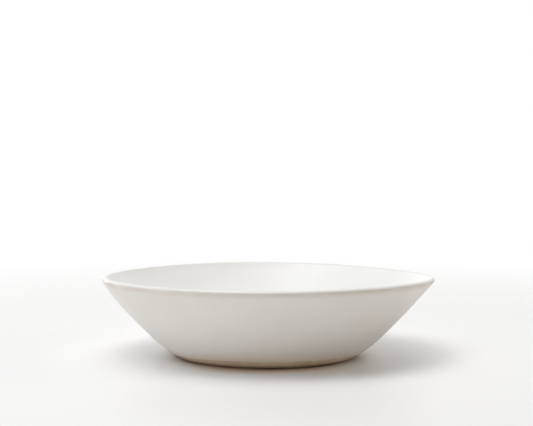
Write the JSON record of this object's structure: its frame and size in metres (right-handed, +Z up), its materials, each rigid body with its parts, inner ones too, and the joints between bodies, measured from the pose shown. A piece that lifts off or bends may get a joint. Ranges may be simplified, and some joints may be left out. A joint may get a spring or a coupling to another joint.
{
  "type": "pasta bowl",
  "caption": "Wide shallow round stoneware bowl with a leaning curved wall, rounded lip, warm white satin glaze and a bare clay foot, for serving pasta.",
  "frame": {"origin": "centre of the foot, in the plane of the table", "axes": "+Z up along the bowl's axis; the bowl is round, so +X and +Y are free"},
  "size_m": [0.23, 0.23, 0.0555],
  "materials": {
    "bare_clay": "matte, unglazed buff stoneware",
    "foot_clay": "matte, unglazed buff stoneware",
    "inside_glaze": "satin, warm white",
    "outside_glaze": "satin, warm white",
    "lip_glaze": "satin, warm white, thin over the clay"
  },
  "bodies": {
    "root": {"stoneware_body": "bare_clay", "foot_ring": "foot_clay", "inner_glaze": "inside_glaze", "outer_glaze": "outside_glaze", "lip_glaze": "lip_glaze"}
  },
  "joints": []
}
